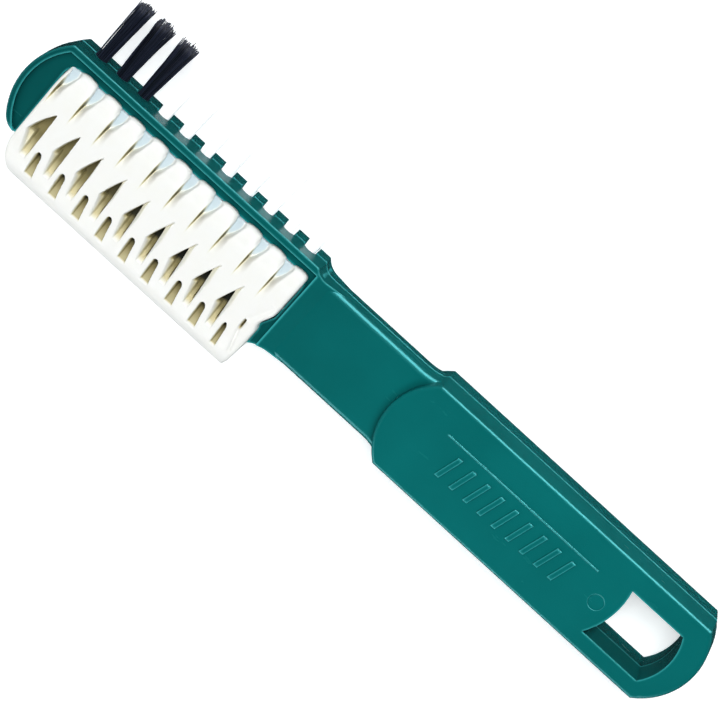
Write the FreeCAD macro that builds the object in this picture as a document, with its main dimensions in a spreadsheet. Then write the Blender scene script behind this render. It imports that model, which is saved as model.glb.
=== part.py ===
"""Combination brush for suede: two moulded half shells clamp a lamella rubber
block and a strip of bristle tufts.

Design frame of every sub-part: X runs from the nose (-X) to the end of the
grip (+X), Y = 0 is the middle of the grip and the bristles point to +Y, and
Z = 0 is the parting plane between the shells, with the front shell on +Z.
The placement of each sub-part then moves that frame so that the origin is the
middle of the underside of the whole brush. All sizes are in millimetres.
"""
import FreeCAD
import Part
import math
import os
import Sketcher

DOCUMENT = FreeCAD.newDocument("suede_brush")
SHEET = DOCUMENT.addObject("Spreadsheet::Sheet", "sheet")
ORIGIN = FreeCAD.Vector(0, 0, 0)
DRIVING_SIZES = {
    # head, seen from above
    "nose_centre_x": -79.7,
    "nose_radius": 18.0,
    "head_top_y": 12.9,
    "head_low_y": -12.3,
    "head_half_thick": 6.2,
    "nose_blend_radius": 5.0,
    "head_end_top_x": -19.3,
    "head_end_low_x": -20.7,
    # neck
    "neck_top_y": 11.1,
    "neck_low_y": -10.5,
    "neck_half_thick": 4.8,
    "neck_start_x": -16.0,
    "neck_end_x": 12.4,
    "tongue_inset": 0.35,
    "tongue_length": 6.0,
    "ridge_x": -18.8,
    "ridge_foot_x": -14.8,
    # grip
    "grip_half_width": 12.6,
    "grip_half_thick": 7.9,
    "grip_corner_x": 17.9,
    "grip_arc_radius": 16.0,
    "grip_end_centre_x": 85.3,
    "grip_end_centre_y": 1.1,
    "grip_end_radius": 17.0,
    "draft_angle": 3.4,
    # edges
    "grip_edge_radius": 0.9,
    "neck_edge_radius": 1.5,
    "rim_edge_radius": 0.35,
    "corner_radius": 0.5,
    "seam_chamfer": 0.2,
    # window in the head and the sunk flange around it
    "rim_width": 2.0,
    "recess_nose_gap": 0.2,
    "flange_depth": 1.0,
    "window_tip_x": -90.2,
    "window_neck_x": -19.6,
    "window_top_y": 8.9,
    "window_corner_radius": 3.0,
    "gusset_start_y": -3.1,
    "gusset_peak_x": -21.2,
    "gusset_peak_y": -6.3,
    "gusset_end_y": -8.0,
    # pocket that clamps the rubber and the bristle strip
    "clamp_tip_x": -92.4,
    "clamp_neck_x": -17.6,
    "clamp_low_y": -9.0,
    "clamp_top_y": 10.9,
    "clamp_half_depth": 4.2,
    # hanging hole
    "hole_start_x": 79.6,
    "hole_end_x": 95.3,
    "hole_top_y": 6.3,
    "hole_low_y": -7.5,
    "hole_start_radius": 20.0,
    "hole_end_radius": 13.0,
    "hole_slant": 1.6,
    "hole_end_lean": 0.5,
    "hole_wall": 1.8,
    # walls, bosses and pins
    "wall": 2.1,
    "neck_cavity_inset": 0.6,
    "neck_cavity_reach": 4.0,
    "boss_radius": 3.2,
    "pin_radius": 1.25,
    "pin_length": 3.0,
    "pin_gap": 0.1,
    "socket_floor_gap": 0.3,
    "nose_pin_x": -94.9,
    "nose_pin_y": 4.5,
    "nose_pin_radius": 0.8,
    # bristle strip
    "tuft_count": 11,
    "black_tuft_count": 3,
    "tuft_first_x": -86.6,
    "tuft_pitch": 6.25,
    "tuft_root_radius": 1.5,
    "tuft_tip_radius": 2.2,
    "tuft_tip_y": 28.8,
    "wall_hole_radius": 1.7,
    "wall_hole_chamfer": 0.3,
    "strip_low_y": 6.5,
    "strip_top_y": 10.7,
    "strip_half_depth": 2.6,
    "strip_hole_radius": 1.6,
    "strip_hole_floor_y": 7.3,
    "anchor_length": 2.9,
    "anchor_height": 1.2,
    "anchor_thick": 0.4,
    "anchor_gap": 0.05,
    # lamella rubber
    "rubber_half_thick": 9.0,
    "rubber_low_y": -21.0,
    "rubber_shoulder_y": 2.5,
    "rubber_edge_half": 5.0,
    "rubber_lip_half": 4.0,
    "rubber_gap": 0.2,
    "rubber_land": 0.5,
    # raised marks on the front
    "mark_height": 0.3,
    "mark_root": 0.3,
    "mark_first_x": 31.0,
    "mark_pitch": 4.2,
    "mark_count": 9,
    "mark_half_width": 0.6,
    "mark_top_y": 2.5,
    "mark_low_y": -4.0,
    "mark_slant": 1.6,
    "bead_start_x": 26.0,
    "bead_end_x": 70.5,
    "bead_y": 4.9,
    "bead_half_width": 0.15,
    "gate_mark_x": 74.9,
    "gate_mark_y": -0.8,
    "gate_mark_radius": 1.9,
    "gate_mark_depth": 0.12,
}
PAST = 1.0              # how far a cutting shape stands past the surface that it cuts
HAIR = 0.001            # keeps an arc just longer than half a circle's chord
CORNER_REACH = 1.25     # how far a leaning corner edge may stray from its plan place
BOSS_PLACES = ((-9.0, 0.3), (5.0, 0.3), (27.0, 0.0), (48.0, 0.0), (69.0, 0.0))


class Size:
    """A length together with the sheet expression that gives it."""

    def __init__(self, value, text):
        self.value = value
        self.text = text

    def joined(self, other, value, sign):
        return Size(value, f"({self.text} {sign} {as_size(other).text})")

    def __add__(self, other):
        return self.joined(other, self.value + as_size(other).value, "+")

    def __sub__(self, other):
        return self.joined(other, self.value - as_size(other).value, "-")

    def __mul__(self, other):
        return self.joined(other, self.value * as_size(other).value, "*")

    def __truediv__(self, other):
        return self.joined(other, self.value / as_size(other).value, "/")

    def __neg__(self):
        return Size(-self.value, f"(0 - {self.text})")


def as_size(number):
    return number if isinstance(number, Size) else Size(float(number), str(float(number)))


def size(alias):
    return Size(DRIVING_SIZES[alias], f"sheet.{alias}")


def root(value):
    return Size(math.sqrt(value.value), f"sqrt({value.text})")


def circle_reach(radius, offset):
    """Half chord of a circle at a distance from its centre."""
    return root(radius * radius - offset * offset)


def fill_sheet():
    for row, (alias, number) in enumerate(DRIVING_SIZES.items(), start=1):
        SHEET.set(f"A{row}", alias)
        SHEET.set(f"B{row}", str(number))
        SHEET.setAlias(f"B{row}", alias)
    DOCUMENT.recompute()


def bind(thing, prop, length):
    """Drive a property of an object, or a constraint of a sketch, from the sheet."""
    thing.setExpression(prop, as_size(length).text)


def new_body(label):
    body = DOCUMENT.addObject("PartDesign::Body", label)
    body.Label = label
    return body


def origin_feature(body, role):
    return [part for part in body.Origin.OriginFeatures if part.Role == role][0]


def new_sketch(body, name, plane="XY_Plane", lift=None):
    """Sketch on an origin plane of its body, lifted along the plane's normal."""
    sketch = body.newObject("Sketcher::SketchObject", name)
    sketch.AttachmentSupport = [(origin_feature(body, plane), "")]
    sketch.MapMode = "FlatFace"
    if lift is not None:
        bind(sketch, "AttachmentOffset.Base.z", lift)
    return sketch


def pin_point(sketch, geometry, which, place):
    """Fix one end of a sketch curve at a place given by two sizes."""
    for kind, length in zip(("DistanceX", "DistanceY"), place):
        length = as_size(length)
        index = sketch.addConstraint(
            Sketcher.Constraint(kind, geometry, which, length.value))
        bind(sketch, f"Constraints[{index}]", length)


def flat(place):
    return FreeCAD.Vector(as_size(place[0]).value, as_size(place[1]).value, 0)


def arc_between(start, end, radius):
    """Circle arc of a radius that turns counterclockwise from start to end."""
    chord = end - start
    middle = (start + end) * 0.5
    outward = FreeCAD.Vector(chord.y, -chord.x, 0).normalize()
    half = chord.Length / 2
    depth = radius - math.sqrt(radius * radius - half * half)
    return Part.Arc(start, middle + outward * depth, end)


def draw_outline(sketch, places, arcs=None):
    """Closed counterclockwise outline through places.

    arcs gives an edge number its radius, and -1 for an arc that bulges out of
    the outline or 1 for one that bulges into it.
    """
    arcs = arcs or {}
    count = len(places)
    for edge in range(count):
        ends = [places[edge], places[(edge + 1) % count]]
        if edge in arcs:
            radius, inward = arcs[edge]
            if inward > 0:
                ends.reverse()
            curve = arc_between(flat(ends[0]), flat(ends[1]), as_size(radius).value)
        else:
            curve = Part.LineSegment(flat(ends[0]), flat(ends[1]))
        number = sketch.addGeometry(curve, False)
        pin_point(sketch, number, 1, ends[0])
        pin_point(sketch, number, 2, ends[1])
        if edge in arcs:
            index = sketch.addConstraint(
                Sketcher.Constraint("Radius", number, as_size(radius).value))
            bind(sketch, f"Constraints[{index}]", radius)


def draw_circle(sketch, place, radius):
    length = as_size(radius)
    number = sketch.addGeometry(
        Part.Circle(flat(place), FreeCAD.Vector(0, 0, 1), length.value), False)
    pin_point(sketch, number, 3, place)
    index = sketch.addConstraint(Sketcher.Constraint("Radius", number, length.value))
    bind(sketch, f"Constraints[{index}]", length)


def box_places(low_x, high_x, low_y, high_y):
    return [(low_x, low_y), (high_x, low_y), (high_x, high_y), (low_x, high_y)]


def pad(body, sketch, length, middle=False):
    feature = body.newObject("PartDesign::Pad", sketch.Name + "_pad")
    feature.Profile = sketch
    bind(feature, "Length", length)
    feature.Midplane = middle
    sketch.Visibility = False
    DOCUMENT.recompute()
    return feature


def pocket(body, sketch, length, middle=False):
    """Cut a sketch into its body, and make sure that it took material away."""
    before = body.Shape.Volume
    feature = body.newObject("PartDesign::Pocket", sketch.Name + "_pocket")
    feature.Profile = sketch
    bind(feature, "Length", length)
    feature.Midplane = middle
    sketch.Visibility = False
    DOCUMENT.recompute()
    if body.Shape.Volume > before - 1e-3:
        raise RuntimeError(f"{feature.Name} cut nothing")
    return feature


def round_edges(body, name, chosen, radius, kind="Fillet"):
    """Fillet or chamfer the edges of the body that a test picks."""
    shape = body.Tip.Shape
    names = [f"Edge{number}" for number, edge in enumerate(shape.Edges, start=1)
             if chosen(edge)]
    if not names:
        raise RuntimeError(f"{name} found no edge")
    base = body.Tip
    feature = body.newObject(f"PartDesign::{kind}", name)
    feature.Base = (base, names)
    bind(feature, "Radius" if kind == "Fillet" else "Size", radius)
    DOCUMENT.recompute()
    return feature


def nose_reach(radius, y):
    """X of the nose circle at a height y."""
    return size("nose_centre_x") - circle_reach(radius, as_size(y))


def end_reach(radius, y):
    """X of the grip's end circle at a height y."""
    return size("grip_end_centre_x") + circle_reach(radius, as_size(y) - size("grip_end_centre_y"))


def tangent_radius(run, rise):
    """Radius of an arc that starts along a line and leaves it by run and rise."""
    return (run * run + rise * rise) / (rise * 2.0)


def draw_head_and_neck(sketch):
    """Outline of the head, the neck and the tongue that runs into the grip."""
    nose = size("nose_radius")
    blend = size("nose_blend_radius")
    blend_drop = -size("head_low_y") - blend
    blend_run = circle_reach(nose - blend, blend_drop)
    blend_ratio = nose / (nose - blend)
    tongue_x = size("grip_corner_x") + size("tongue_length")
    tongue_y = size("grip_half_width") - size("tongue_inset")
    flare_end_x = size("grip_corner_x") + size("tongue_inset")
    flare_run = flare_end_x - size("neck_end_x")
    places = [
        (nose_reach(nose, size("head_top_y")), size("head_top_y")),
        (size("nose_centre_x") - blend_run * blend_ratio, -(blend_drop * blend_ratio)),
        (size("nose_centre_x") - blend_run, size("head_low_y")),
        (size("head_end_low_x"), size("head_low_y")),
        (size("neck_start_x"), size("neck_low_y")),
        (size("neck_end_x"), size("neck_low_y")),
        (flare_end_x, -tongue_y),
        (tongue_x, -tongue_y),
        (tongue_x, tongue_y),
        (flare_end_x, tongue_y),
        (size("neck_end_x"), size("neck_top_y")),
        (size("neck_start_x"), size("neck_top_y")),
        (size("head_end_top_x"), size("head_top_y")),
    ]
    arcs = {
        0: (nose, -1),
        1: (blend, -1),
        3: (tangent_radius(size("neck_start_x") - size("head_end_low_x"),
                           size("neck_low_y") - size("head_low_y")), 1),
        5: (tangent_radius(flare_run, tongue_y + size("neck_low_y")), 1),
        9: (tangent_radius(flare_run, tongue_y - size("neck_top_y")), 1),
        11: (tangent_radius(size("neck_start_x") - size("head_end_top_x"),
                            size("head_top_y") - size("neck_top_y")), 1),
    }
    draw_outline(sketch, places, arcs)


def draw_grip(sketch):
    half_width = size("grip_half_width")
    end_radius = size("grip_end_radius")
    places = [
        (size("grip_corner_x"), half_width),
        (size("grip_corner_x"), -half_width),
        (end_reach(end_radius, -half_width), -half_width),
        (end_reach(end_radius, half_width), half_width),
    ]
    draw_outline(sketch, places, {0: (size("grip_arc_radius"), -1), 2: (end_radius, -1)})


def hole_places(spread):
    """Corners of the hanging hole, moved outwards by a spread."""
    slant = size("hole_slant")
    return [
        (size("hole_start_x") - spread, size("hole_top_y") + spread),
        (size("hole_start_x") - slant - spread, size("hole_low_y") - spread),
        (size("hole_end_x") - slant - size("hole_end_lean") + spread, size("hole_low_y") - spread),
        (size("hole_end_x") - slant + spread, size("hole_top_y") + spread),
    ]


def draw_hole(sketch, spread=0.0):
    start_radius = size("hole_start_radius") + spread
    end_radius = size("hole_end_radius") + spread
    draw_outline(sketch, hole_places(spread), {0: (start_radius, 1), 2: (end_radius, -1)})


def near(value, target, gap=0.02):
    return abs(value - target) < gap


def draft_sides(body):
    """Lean every upright face of the body inwards, away from the parting plane."""
    base = body.Tip
    names = [f"Face{number}" for number, face in enumerate(base.Shape.Faces, start=1)
             if is_upright(face)]
    feature = body.newObject("PartDesign::Draft", body.Name + "_draft")
    feature.Base = (base, names)
    feature.NeutralPlane = (origin_feature(body, "XY_Plane"), [""])
    bind(feature, "Angle", size("draft_angle"))
    DOCUMENT.recompute()


def is_upright(face):
    low_u, high_u, low_v, high_v = face.ParameterRange
    normal = face.normalAt((low_u + high_u) / 2, (low_v + high_v) / 2)
    return abs(normal.z) < 1e-4


def is_level(edge, height):
    box = edge.BoundBox
    return near(box.ZMin, height) and near(box.ZMax, height)


def prism(label, draw, low, high):
    """Body padded between two heights from an outline that draw puts in a sketch."""
    body = new_body(label)
    sketch = new_sketch(body, label + "_outline", lift=as_size(low))
    draw(sketch)
    pad(body, sketch, as_size(high) - low)
    return body


def head_blank():
    """Head and neck of a half shell, with leaning walls and a lower neck face."""
    head_face = DRIVING_SIZES["head_half_thick"]
    neck_face = DRIVING_SIZES["neck_half_thick"]
    grip_corner = DRIVING_SIZES["grip_corner_x"]
    nose_corner_x = nose_reach(size("nose_radius"), size("head_top_y")).value
    end_corner_x = ((size("head_end_top_x") + size("head_end_low_x")) / 2.0).value
    body = prism("head_blank", draw_head_and_neck, 0.0, size("head_half_thick"))
    draft_sides(body)
    saddle = new_sketch(body, "saddle_outline", "XZ_Plane")
    drop = size("head_half_thick") - size("neck_half_thick")
    ramp = (size("ridge_foot_x") - size("ridge_x")) / drop
    past_x = size("grip_corner_x") + size("tongue_length") + PAST * 2.0
    low = size("neck_half_thick")
    high = size("head_half_thick") + PAST * 2.0
    draw_outline(saddle, [(size("ridge_x") - ramp * 2.0, high), (size("ridge_foot_x"), low),
                          (past_x, low), (past_x, high)])
    pocket(body, saddle, size("grip_half_width") * 3.0, middle=True)

    def is_head_corner(edge):
        box = edge.BoundBox
        at_nose = near(box.XMax, nose_corner_x, CORNER_REACH)
        at_neck_end = near(box.XMin, end_corner_x, CORNER_REACH)
        return box.ZMin < 0.1 and near(box.ZMax, head_face) and (at_nose or at_neck_end)

    def is_neck_edge(edge):
        box = edge.BoundBox
        return (is_level(edge, neck_face) and box.XLength > 1
                and box.XMax < grip_corner + 1)

    def is_rim_edge(edge):
        box = edge.BoundBox
        return is_level(edge, head_face) and box.XLength > 0.3

    round_edges(body, "head_corners", is_head_corner, size("corner_radius"))
    round_edges(body, "head_seam", lambda edge: is_level(edge, 0.0), size("seam_chamfer"),
                "Chamfer")
    round_edges(body, "neck_edges", is_neck_edge, size("neck_edge_radius"))
    round_edges(body, "rim_edges", is_rim_edge, size("rim_edge_radius"))
    return body


def grip_blank():
    """Grip of a half shell, with leaning walls and rounded face edges."""
    face = DRIVING_SIZES["grip_half_thick"]
    body = prism("grip_blank", draw_grip, 0.0, size("grip_half_thick"))
    draft_sides(body)
    round_edges(body, "grip_corners",
                lambda edge: edge.BoundBox.ZLength > face - 0.1, size("corner_radius"))
    round_edges(body, "grip_edges",
                lambda edge: is_level(edge, face), size("grip_edge_radius"))
    round_edges(body, "grip_seam", lambda edge: is_level(edge, 0.0), size("seam_chamfer"),
                "Chamfer")
    return body


def draw_recess(sketch):
    """Sunk flange around the window, open at the lower edge of the head."""
    inner_nose = size("nose_radius") - size("rim_width") + size("recess_nose_gap")
    top_y = size("head_top_y") - size("rim_width")
    low_y = size("head_low_y") - PAST * 2.0
    draw_outline(sketch, [(nose_reach(inner_nose, top_y), top_y),
                          (nose_reach(inner_nose, low_y), low_y),
                          (size("ridge_x"), low_y), (size("ridge_x"), top_y)],
                 {0: (inner_nose, -1)})


def draw_window(sketch):
    """Window for the rubber, open at the lower edge, with a gusset at the neck."""
    low_y = size("head_low_y") - PAST * 2.0
    corner = size("window_corner_radius")
    tip_x = size("window_tip_x")
    neck_x = size("window_neck_x")
    top_y = size("window_top_y")
    draw_outline(sketch, [(tip_x, top_y - corner), (tip_x, low_y),
                          (size("head_end_low_x"), low_y),
                          (size("head_end_low_x"), size("gusset_end_y")),
                          (size("gusset_peak_x"), size("gusset_peak_y")),
                          (neck_x, size("gusset_start_y")), (neck_x, top_y - corner),
                          (neck_x - corner, top_y), (tip_x + corner, top_y)],
                 {6: (corner, -1), 8: (corner, -1)})


def draw_clamp(sketch):
    draw_outline(sketch, box_places(size("clamp_tip_x"), size("clamp_neck_x"),
                                    size("clamp_low_y"), size("clamp_top_y")))


def draw_neck_cavity(sketch):
    wall = size("wall")
    draw_outline(sketch, box_places(size("neck_start_x") + size("neck_cavity_inset"),
                                    size("grip_corner_x") + size("neck_cavity_reach"),
                                    size("neck_low_y") + wall, size("neck_top_y") - wall))
    for place in BOSS_PLACES:
        if place[0] < DRIVING_SIZES["grip_corner_x"]:
            draw_circle(sketch, place, size("boss_radius"))


def draw_grip_cavity(sketch):
    """Hollow of the grip, with round bosses and a wall left around the hanging hole."""
    wall = size("wall")
    half_width = size("grip_half_width") - wall
    end_radius = size("grip_end_radius") - wall
    start_x = size("grip_corner_x") + wall
    draw_outline(sketch, [(start_x, half_width), (start_x, -half_width),
                          (end_reach(end_radius, -half_width), -half_width),
                          (end_reach(end_radius, half_width), half_width)], {2: (end_radius, -1)})
    draw_hole(sketch, size("hole_wall"))
    for place in BOSS_PLACES:
        if place[0] > DRIVING_SIZES["grip_corner_x"]:
            draw_circle(sketch, place, size("boss_radius"))


def hole_cutter():
    """Hanging hole, narrowest at the parting plane."""
    body = prism("hole_cutter", lambda sketch: draw_hole(sketch, as_size(0.0)),
                 0.0, size("grip_half_thick") + PAST)
    draft_sides(body)
    body.Tip.Reversed = True
    return body


def bristle_hole_cutter():
    """Row of round holes through the head's top wall, each with a small chamfer."""
    body = new_body("bristle_holes")
    sketch = new_sketch(body, "bristle_hole_profile")
    first_x = size("tuft_first_x")
    radius = size("wall_hole_radius")
    chamfer = size("wall_hole_chamfer")
    low_y = size("clamp_top_y") - PAST / 2.0
    top_y = size("head_top_y")
    draw_outline(sketch, [(first_x, low_y), (first_x + radius, low_y),
                          (first_x + radius, top_y - chamfer),
                          (first_x + radius + chamfer * 2.0, top_y + chamfer),
                          (first_x, top_y + chamfer)])
    feature = body.newObject("PartDesign::Revolution", "bristle_hole")
    feature.Profile = sketch
    feature.ReferenceAxis = (sketch, ["Edge5"])
    feature.Angle = 360
    DOCUMENT.recompute()
    row = body.newObject("PartDesign::LinearPattern", "bristle_hole_row")
    row.Originals = [feature]
    row.Direction = (origin_feature(body, "X_Axis"), [""])
    bind(row, "Length", size("tuft_pitch") * (size("tuft_count") - 1))
    bind(row, "Occurrences", size("tuft_count"))
    body.Tip = row
    DOCUMENT.recompute()
    return body


def boolean(kind, label, parts):
    """Part boolean of several objects: MultiFuse, MultiCommon, or Cut of two."""
    feature = DOCUMENT.addObject(f"Part::{kind}", label)
    feature.Label = label
    if kind == "Cut":
        feature.Base, feature.Tool = parts
    else:
        feature.Shapes = parts
    DOCUMENT.recompute()
    return feature


def cylinder(label, place, radius, low, high):
    """Upright cylinder between two heights."""
    feature = DOCUMENT.addObject("Part::Cylinder", label)
    bind(feature, "Radius", radius)
    bind(feature, "Height", as_size(high) - low)
    for axis, length in zip("xyz", (place[0], place[1], low)):
        bind(feature, f"Placement.Base.{axis}", length)
    DOCUMENT.recompute()
    return feature


def block(label, low, high):
    """Box between two corners given by sizes."""
    feature = DOCUMENT.addObject("Part::Box", label)
    for side, axis, start, end in zip(("Length", "Width", "Height"), "xyz", low, high):
        bind(feature, side, as_size(end) - start)
        bind(feature, f"Placement.Base.{axis}", start)
    DOCUMENT.recompute()
    return feature


def half_shell():
    """The shape that both shells share, on +Z of the parting plane."""
    head_thick = size("head_half_thick")
    wall = size("wall")
    blank = boolean("MultiFuse", "shell_blank", [head_blank(), grip_blank()])
    cutters = [
        prism("recess", draw_recess, head_thick - size("flange_depth"), head_thick + PAST),
        prism("window", draw_window, as_size(-PAST), head_thick + PAST),
        prism("clamp", draw_clamp, as_size(-PAST), size("clamp_half_depth")),
        prism("neck_cavity", draw_neck_cavity, as_size(-PAST), size("neck_half_thick") - wall),
        prism("grip_cavity", draw_grip_cavity, as_size(-PAST), size("grip_half_thick") - wall),
        hole_cutter(),
        bristle_hole_cutter(),
    ]
    return boolean("Cut", "half_shell", [blank, boolean("MultiFuse", "shell_cutters", cutters)])


def pin_places():
    nose = [(size("nose_pin_x"), size("nose_pin_y") * turn, size("nose_pin_radius"))
            for turn in (-1, 1)]
    return nose + [(as_size(x), as_size(y), size("pin_radius")) for x, y in BOSS_PLACES]


def draw_marks(sketch):
    """Row of slanted bars where a thumb rests."""
    half = size("mark_half_width")
    slant = size("mark_slant") / 2.0
    for number in range(int(DRIVING_SIZES["mark_count"])):
        middle = size("mark_first_x") + size("mark_pitch") * number
        draw_outline(sketch, [(middle - slant - half, size("mark_low_y")),
                              (middle - slant + half, size("mark_low_y")),
                              (middle + slant + half, size("mark_top_y")),
                              (middle + slant - half, size("mark_top_y"))])


def front_shell(half):
    """Front half: locating pins inside, raised grip marks and a gate mark outside."""
    face = size("grip_half_thick")
    pins = [cylinder(f"pin_{number}", (x, y), radius, -size("pin_length"), as_size(PAST))
            for number, (x, y, radius) in enumerate(pin_places(), start=1)]
    marks = prism("thumb_marks", draw_marks, face - size("mark_root"), face + size("mark_height"))
    bead = block("bead", (size("bead_start_x"), size("bead_y") - size("bead_half_width"),
                          face - size("mark_root")),
                 (size("bead_end_x"), size("bead_y") + size("bead_half_width"),
                  face + size("mark_height") / 2.0))
    gate = cylinder("gate_mark", (size("gate_mark_x"), size("gate_mark_y")),
                    size("gate_mark_radius"), face - size("gate_mark_depth"), face + PAST)
    whole = boolean("MultiFuse", "front_with_pins", [half, marks, bead] + pins)
    return boolean("Cut", "front_shell", [whole, gate])


def back_shell(half):
    """Back half: the mirror of the front, with sockets for the pins."""
    mirror = DOCUMENT.addObject("Part::Mirroring", "mirrored_half")
    mirror.Source = half
    mirror.Base = ORIGIN
    mirror.Normal = FreeCAD.Vector(0, 0, 1)
    DOCUMENT.recompute()
    floor = -size("pin_length") - size("socket_floor_gap")
    sockets = [cylinder(f"socket_{number}", (x, y), radius + size("pin_gap"), floor, as_size(PAST))
               for number, (x, y, radius) in enumerate(pin_places(), start=1)]
    return boolean("Cut", "back_shell", [mirror, boolean("MultiFuse", "sockets", sockets)])


def rubber_block():
    """Lamella rubber: a D-shaped bar that bulges out of both windows, with a lip
    that the shells clamp and a channel for the bristle strip."""
    gap = size("rubber_gap")
    thick = size("rubber_half_thick")
    edge = size("rubber_edge_half")
    shoulder_y = size("rubber_shoulder_y")
    round_y = size("rubber_low_y") + thick
    top_y = size("window_top_y") - gap
    body = new_body("rubber_bulge")
    sketch = new_sketch(body, "rubber_section", "YZ_Plane", size("window_tip_x") + gap)
    shoulder = tangent_radius(top_y - shoulder_y, thick - edge)
    draw_outline(sketch, [(round_y, thick), (round_y, -thick), (shoulder_y, -thick),
                          (top_y, -edge), (top_y, edge), (shoulder_y, thick)],
                 {0: (thick + HAIR, -1), 2: (shoulder, -1), 4: (shoulder, -1)})
    pad(body, sketch, size("window_neck_x") - size("window_tip_x") - gap * 2.0)
    lip = size("rubber_lip_half")
    lip_block = block("rubber_lip",
                      (size("clamp_tip_x") + gap, size("clamp_low_y") + gap, -lip),
                      (size("clamp_neck_x") - gap, size("clamp_top_y") - gap, lip))
    far = thick + PAST
    land = size("rubber_land")
    channel = block("strip_channel",
                    (size("clamp_tip_x"), size("strip_low_y") - gap, -size("strip_half_depth") - gap),
                    (size("clamp_neck_x"), size("clamp_top_y") + PAST, size("strip_half_depth") + gap))
    corner = block("neck_end_relief",
                   (size("gusset_peak_x") - gap, size("rubber_low_y") - PAST, -far),
                   (size("window_neck_x") + gap / 2.0, size("gusset_start_y") + gap, far))
    lip_keep = block("lip_keep",
                     (size("gusset_peak_x") - gap - land, size("clamp_low_y") + gap, -lip),
                     (size("window_neck_x") + gap, size("gusset_start_y") + gap + land, lip))
    relief = boolean("Cut", "outer_relief", [corner, lip_keep])
    solid = boolean("MultiFuse", "rubber_solid", [body, lip_block])
    return boolean("Cut", "rubber_block",
                   [solid, boolean("MultiFuse", "rubber_cutters", [channel, relief])])


def tuft_x(number):
    return size("tuft_first_x") + size("tuft_pitch") * number


def revolve(label, places):
    """Body turned about the Y line through the first and last place."""
    body = new_body(label)
    sketch = new_sketch(body, label + "_profile")
    draw_outline(sketch, places)
    feature = body.newObject("PartDesign::Revolution", label + "_turn")
    feature.Profile = sketch
    feature.ReferenceAxis = (sketch, [f"Edge{len(places)}"])
    feature.Angle = 360
    DOCUMENT.recompute()
    return body


def bristle_strip():
    """Bar in the clamp pocket with one blind hole for each tuft."""
    gap = size("rubber_gap")
    depth = size("strip_half_depth")
    bar = block("strip_bar", (size("clamp_tip_x") + gap * 2.0, size("strip_low_y"), -depth),
                (size("clamp_neck_x") - gap * 2.0, size("strip_top_y"), depth))
    holes = []
    for number in range(int(DRIVING_SIZES["tuft_count"])):
        x = tuft_x(number)
        holes.append(revolve(f"strip_hole_{number + 1}",
                             [(x, size("strip_hole_floor_y")),
                              (x + size("strip_hole_radius"), size("strip_hole_floor_y")),
                              (x + size("strip_hole_radius"), size("strip_top_y") + PAST),
                              (x, size("strip_top_y") + PAST)]))
    return boolean("Cut", "bristle_strip", [bar, boolean("MultiFuse", "strip_holes", holes)])


def anchor(number):
    """Flat staple that holds one tuft at the bottom of its hole."""
    x = tuft_x(number)
    half = size("anchor_length") / 2.0
    low_y = size("strip_hole_floor_y") + size("anchor_gap") * 2.0
    thick = size("anchor_thick") / 2.0
    return block(f"tuft_anchor_{number + 1:02d}", (x - half, low_y, -thick),
                 (x + half, low_y + size("anchor_height"), thick))


def tuft(number, label):
    """Bundle of filaments as one flared solid, with a slot for its staple."""
    x = tuft_x(number)
    gap = size("anchor_gap")
    root_y = size("strip_hole_floor_y") + gap
    solid = revolve(label + "_bundle",
                    [(x, root_y), (x + size("tuft_root_radius"), root_y),
                     (x + size("tuft_root_radius"), size("head_top_y")),
                     (x + size("tuft_tip_radius"), size("tuft_tip_y")),
                     (x, size("tuft_tip_y"))])
    slot_half = size("anchor_thick") / 2.0 + gap
    reach = size("tuft_root_radius") + PAST / 2.0
    slot = block(label + "_slot", (x - reach, root_y - PAST, -slot_half),
                 (x + reach, root_y + size("anchor_height") + gap * 3.0, slot_half))
    return boolean("Cut", label, [solid, slot])


def tuft_labels():
    blacks = int(DRIVING_SIZES["black_tuft_count"])
    count = int(DRIVING_SIZES["tuft_count"])
    return ([f"black_tuft_{number}" for number in range(1, blacks + 1)]
            + [f"white_tuft_{number}" for number in range(1, count - blacks + 1)])


def build_brush():
    """Every sub-part, in the design frame."""
    half = half_shell()
    pieces = [front_shell(half), back_shell(half), rubber_block(), bristle_strip()]
    for number, label in enumerate(tuft_labels()):
        pieces.append(tuft(number, label))
        pieces.append(anchor(number))
    return pieces


def check(pieces):
    failed = [thing.Name for thing in DOCUMENT.Objects
              if "Invalid" in thing.State or "Error" in thing.State]
    if failed:
        raise RuntimeError(f"failed objects: {failed}")
    for piece in pieces:
        if piece.Shape.isNull() or not piece.Shape.isValid():
            raise RuntimeError(f"{piece.Label} has no valid shape")


def place(pieces):
    """Move the design frame so that the origin is the middle of the underside."""
    middle_x = (size("nose_centre_x") - size("nose_radius")
                + size("grip_end_centre_x") + size("grip_end_radius")) / 2.0
    middle_y = (size("tuft_tip_y") + size("rubber_low_y")) / 2.0
    for piece in pieces:
        if piece.TypeId == "Part::Box":
            shift = (as_size(piece.Placement.Base.x), as_size(piece.Placement.Base.y),
                     as_size(piece.Placement.Base.z))
        else:
            shift = (as_size(0.0), as_size(0.0), as_size(0.0))
        bind(piece, "Placement.Base.x", shift[0] - middle_x)
        bind(piece, "Placement.Base.y", shift[1] - middle_y)
        bind(piece, "Placement.Base.z", shift[2] + size("rubber_half_thick"))
    DOCUMENT.recompute()


def main():
    fill_sheet()
    pieces = build_brush()
    place(pieces)
    check(pieces)
    os.makedirs("parts", exist_ok=True)
    for piece in pieces:
        piece.Shape.exportStep(f"parts/{piece.Label}.step")


if __name__ == "__main__":
    main()
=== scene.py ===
"""Looks of the suede brush: lamella rubber, bristle filaments, plastic and light."""
import math
import bmesh
import bpy
import numpy as np
from mathutils import Matrix, Vector

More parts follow.
